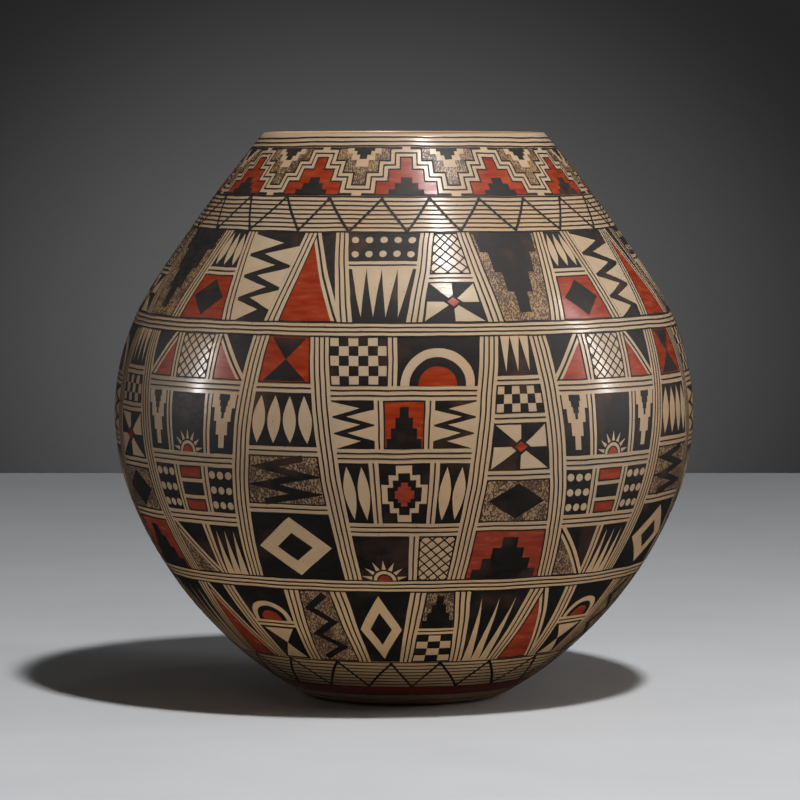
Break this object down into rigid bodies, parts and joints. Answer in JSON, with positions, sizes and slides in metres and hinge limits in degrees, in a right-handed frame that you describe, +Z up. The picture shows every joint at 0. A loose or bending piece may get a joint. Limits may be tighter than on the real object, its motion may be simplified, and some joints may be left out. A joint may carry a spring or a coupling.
{
  "type": "pueblo pottery jar",
  "caption": "Round-bodied coil-built pottery jar with a narrow rounded mouth and a small flat standing ring, burnished outside and painted in fine geometric bands.",
  "frame": {"origin": "middle of the standing ring, on the surface that the jar stands on", "axes": "+Z up along the jar's axis, towards the mouth"},
  "size_m": [0.24, 0.24, 0.234],
  "materials": {
    "bare_fired_clay": "matte",
    "burnished_slip": "satin"
  },
  "bodies": {
    "root": {"base_pat": "bare_fired_clay", "wall_coil_01": "bare_fired_clay", "wall_coil_02": "bare_fired_clay", "wall_coil_03": "bare_fired_clay", "wall_coil_04": "bare_fired_clay", "wall_coil_05": "bare_fired_clay", "wall_coil_06": "bare_fired_clay", "wall_coil_07": "bare_fired_clay", "wall_coil_08": "bare_fired_clay", "wall_coil_09": "bare_fired_clay", "wall_coil_10": "bare_fired_clay", "wall_coil_11": "bare_fired_clay", "wall_coil_12": "bare_fired_clay", "rim_coil": "bare_fired_clay", "slip_coat": "burnished_slip"}
  },
  "joints": []
}
